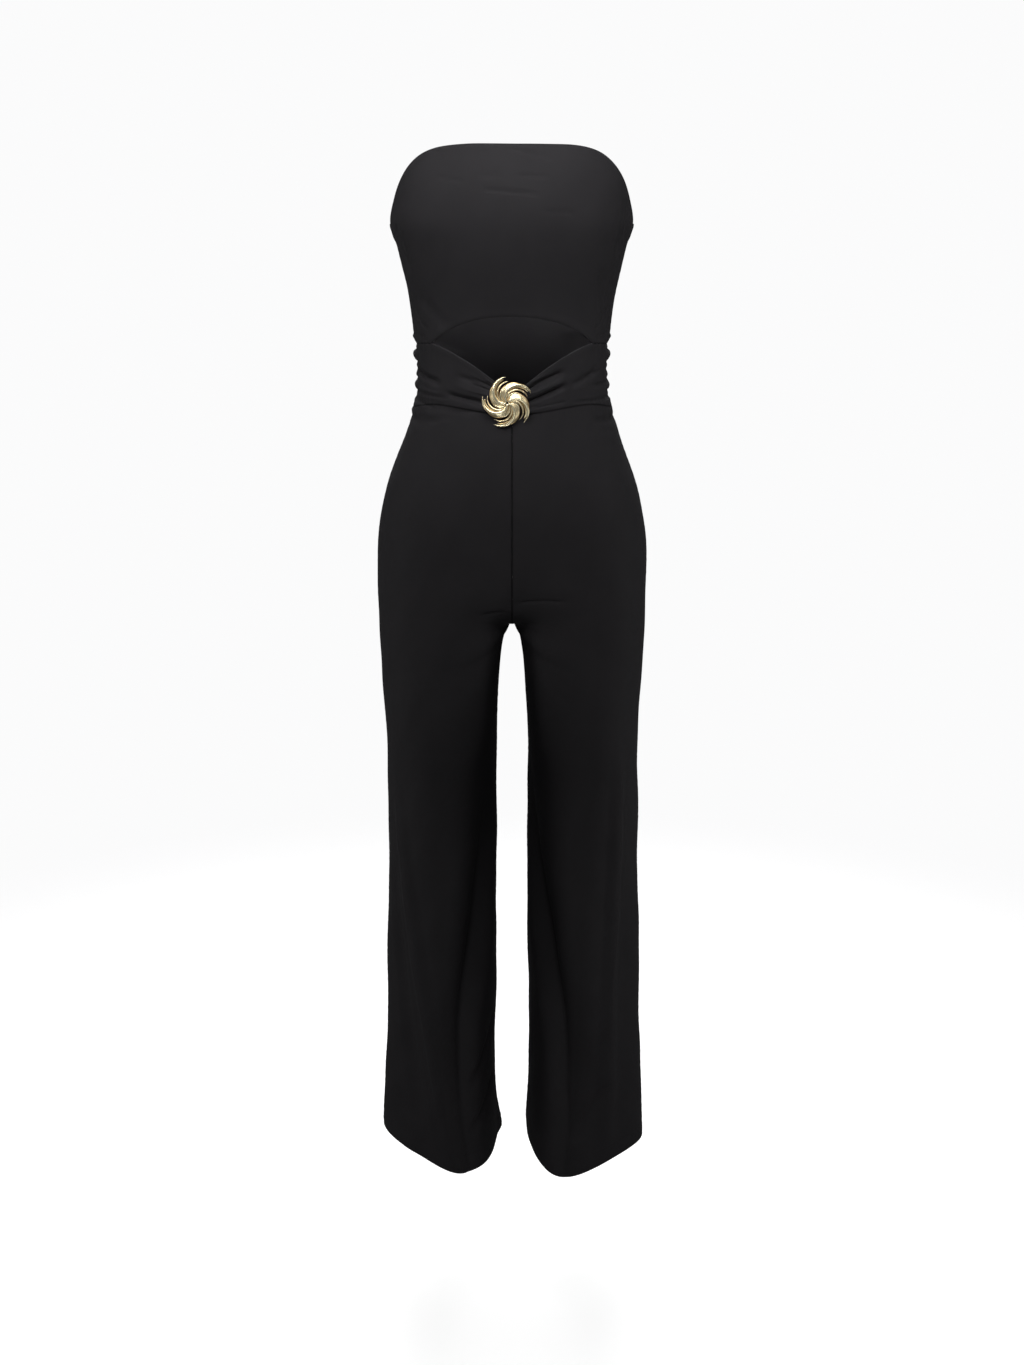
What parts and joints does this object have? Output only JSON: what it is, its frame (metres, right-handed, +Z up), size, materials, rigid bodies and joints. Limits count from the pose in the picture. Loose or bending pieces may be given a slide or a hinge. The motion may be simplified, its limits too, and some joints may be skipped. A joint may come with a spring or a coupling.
{
  "type": "jumpsuit",
  "caption": "Strapless wide-leg jumpsuit in black jersey with a waist cut-out and a gold whirl brooch on its gathered waistband.",
  "frame": {"origin": "middle of the waist, where the wearer holds the garment", "axes": "+Z up along the body, the front faces -Y, the wearer's left is at +X"},
  "size_m": [0.364, 0.2577, 1.3272],
  "materials": {
    "jersey": "matt black stretch jersey with a faint sheen",
    "gold": "polished pale gold plating"
  },
  "bodies": {
    "root": {"bodice_front": "jersey", "bodice_back": "jersey", "waistband_front_left": "jersey", "waistband_front_right": "jersey", "trouser_front_left": "jersey", "trouser_front_right": "jersey", "trouser_back_left": "jersey", "trouser_back_right": "jersey", "brooch": "gold"}
  },
  "joints": []
}
